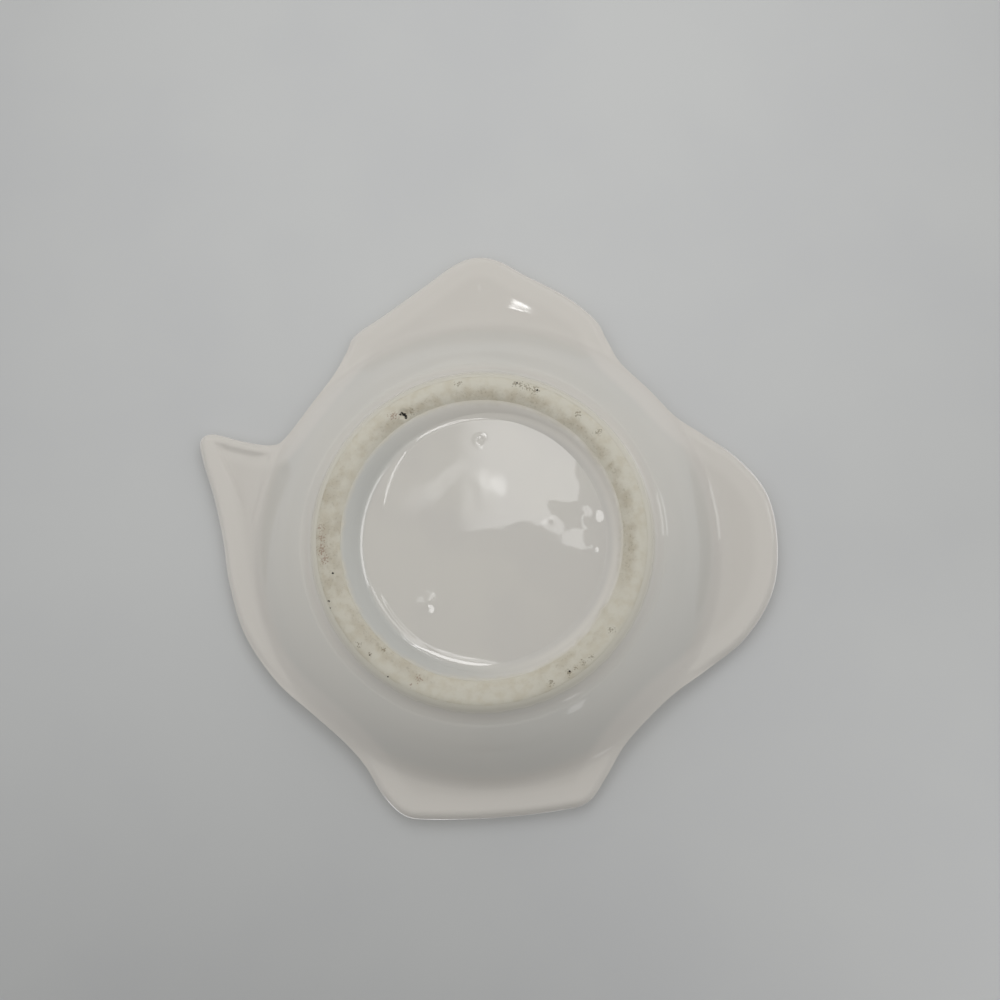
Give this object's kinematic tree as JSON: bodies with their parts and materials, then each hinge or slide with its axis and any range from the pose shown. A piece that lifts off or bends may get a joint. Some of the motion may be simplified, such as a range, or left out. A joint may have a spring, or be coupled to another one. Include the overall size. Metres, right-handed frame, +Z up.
{
  "type": "tea bag rest",
  "caption": "Shallow glazed porcelain dish with a round well, a bare foot ring and a flat rim shaped as a teapot, for resting a used tea bag.",
  "frame": {"origin": "centre of the foot ring, in the plane of its ground face, which is the surface the dish stands on", "axes": "+Z up, the way the dish opens; +Y towards the teapot's lid; +X towards its spout, so the handle is at -X"},
  "size_m": [0.1138, 0.1119, 0.018],
  "materials": {
    "fired_clay": "bare fired porcelain, ground matt, warm cream with faint stains",
    "glaze": "glossy creamy white glaze",
    "recess_glaze": "glossy creamy white glaze with a few small bumps and pinholes"
  },
  "bodies": {
    "root": {"clay_body": "fired_clay", "glaze_coat": "glaze", "recess_glaze": "recess_glaze"}
  },
  "joints": []
}
